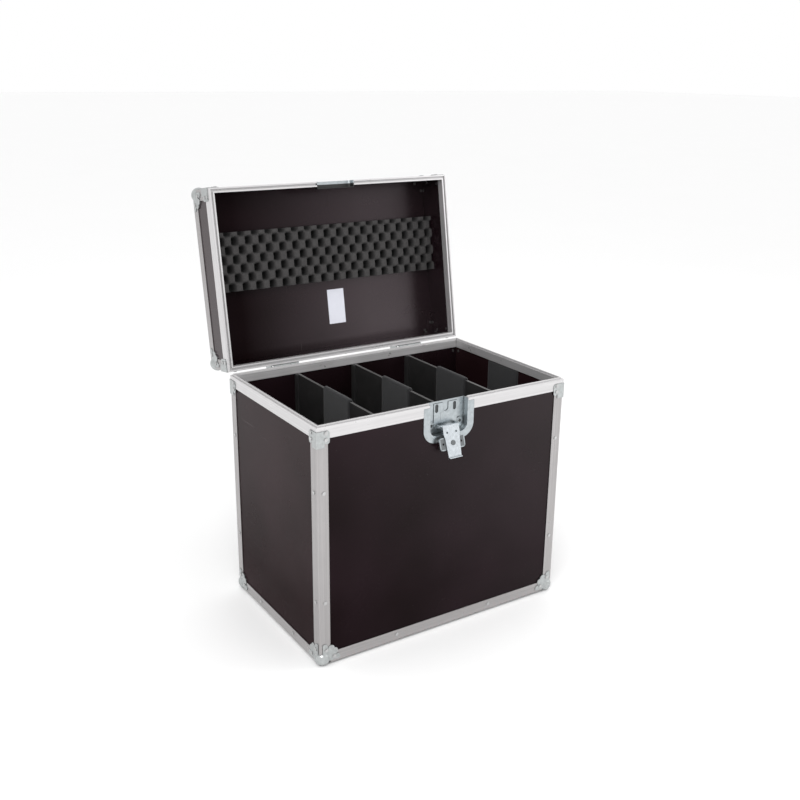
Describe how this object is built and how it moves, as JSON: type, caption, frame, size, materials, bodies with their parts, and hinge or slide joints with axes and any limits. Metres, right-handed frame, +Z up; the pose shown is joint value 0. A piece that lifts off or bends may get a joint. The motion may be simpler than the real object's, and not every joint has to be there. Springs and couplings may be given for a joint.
{
  "type": "record carrying case",
  "caption": "Tall lidded transport case for records with metal edging, ball corners, recessed latch, padded lid and lift-out dividers.",
  "frame": {"origin": "centre of the open case's outline on the floor", "axes": "+X to the right along the front, +Y to the back, +Z up"},
  "size_m": [0.56, 0.537, 0.823],
  "materials": {
    "laminate": "semi-gloss phenolic film on ply",
    "side_laminate": "semi-gloss phenolic film on ply",
    "edging": "mill finish, satin",
    "zinc_steel": "bright zinc plate",
    "latch_steel": "bluish zinc plate",
    "rivet_steel": "plated",
    "pin_steel": "plain",
    "divider_board": "matt black film",
    "rail_plastic": "matt extrusion",
    "pad_felt": "felt",
    "foam": "open-cell foam",
    "label_paper": "matt",
    "grip_rubber": "satin"
  },
  "bodies": {
    "base": {"front_panel": "laminate", "back_panel": "laminate", "left_panel": "side_laminate", "right_panel": "side_laminate", "floor_panel": "laminate", "upright_front_left": "edging", "upright_front_right": "edging", "upright_back_left": "edging", "upright_back_right": "edging", "floor_edge_front": "edging", "floor_edge_back": "edging", "floor_edge_left": "edging", "floor_edge_right": "edging", "rim_front": "edging", "rim_back": "edging", "rim_left": "edging", "rim_right": "edging", "floor_ball_corners": "zinc_steel", "base_braces": "zinc_steel", "base_rivets": "rivet_steel", "latch_dish": "latch_steel", "latch_carriage": "latch_steel", "latch_pivot_pin": "pin_steel", "divider_rails": "rail_plastic", "wall_pads": "pad_felt", "base_leaf_left": "zinc_steel", "base_leaf_right": "zinc_steel", "hinge_pins": "pin_steel"},
    "lid": {"lid_top_panel": "laminate", "lid_front_panel": "laminate", "lid_back_panel": "laminate", "lid_left_panel": "side_laminate", "lid_right_panel": "side_laminate", "lid_uprights": "edging", "lid_top_edges": "edging", "lid_rim_front": "edging", "lid_rim_back": "edging", "lid_rim_left": "edging", "lid_rim_right": "edging", "lid_ball_corners": "zinc_steel", "lid_braces": "zinc_steel", "lid_rivets": "rivet_steel", "latch_keeper": "latch_steel", "lid_leaf_left": "zinc_steel", "lid_leaf_right": "zinc_steel", "lid_foam": "foam", "lid_label": "label_paper", "handle_brackets": "zinc_steel"},
    "handle": {"handle_bail": "pin_steel", "handle_grip": "grip_rubber"},
    "hook": {"latch_hook": "latch_steel"},
    "key": {"latch_key": "latch_steel"},
    "left_divider": {"divider_left": "divider_board", "pad_left": "pad_felt"},
    "middle_divider": {"divider_middle": "divider_board", "pad_middle": "pad_felt"},
    "right_divider": {"divider_right": "divider_board", "pad_right": "pad_felt"}
  },
  "joints": [
    {"name": "lid_hinge", "type": "hinge", "parent": "base", "child": "lid", "pos_m": [0, 0.11799, 0.4667], "axis": [-1, 0, 0], "range_deg": [-99.3, 0]},
    {"name": "hook_swing", "type": "hinge", "parent": "base", "child": "hook", "pos_m": [0, -0.23901, 0.4197], "axis": [-1, 0, 0], "range_deg": [0, 162.5]},
    {"name": "key_turn", "type": "hinge", "parent": "hook", "child": "key", "pos_m": [0, -0.25531, 0.39129], "axis": [0, 0.9537, -0.3007], "range_deg": [0, 180]},
    {"name": "handle_lift", "type": "hinge", "parent": "lid", "child": "handle", "pos_m": [0, 0.24461, 0.63039], "axis": [1, 0, 0], "range_deg": [0, 90], "stiffness_Nm_per_rad": 0.2, "springref_deg": -34.38},
    {"name": "left_divider_lift", "type": "slide", "parent": "base", "child": "left_divider", "axis": [0, 0, 1], "range_m": [0, 0.45]},
    {"name": "middle_divider_lift", "type": "slide", "parent": "base", "child": "middle_divider", "axis": [0, 0, 1], "range_m": [0, 0.45]},
    {"name": "right_divider_lift", "type": "slide", "parent": "base", "child": "right_divider", "axis": [0, 0, 1], "range_m": [0, 0.45]}
  ]
}
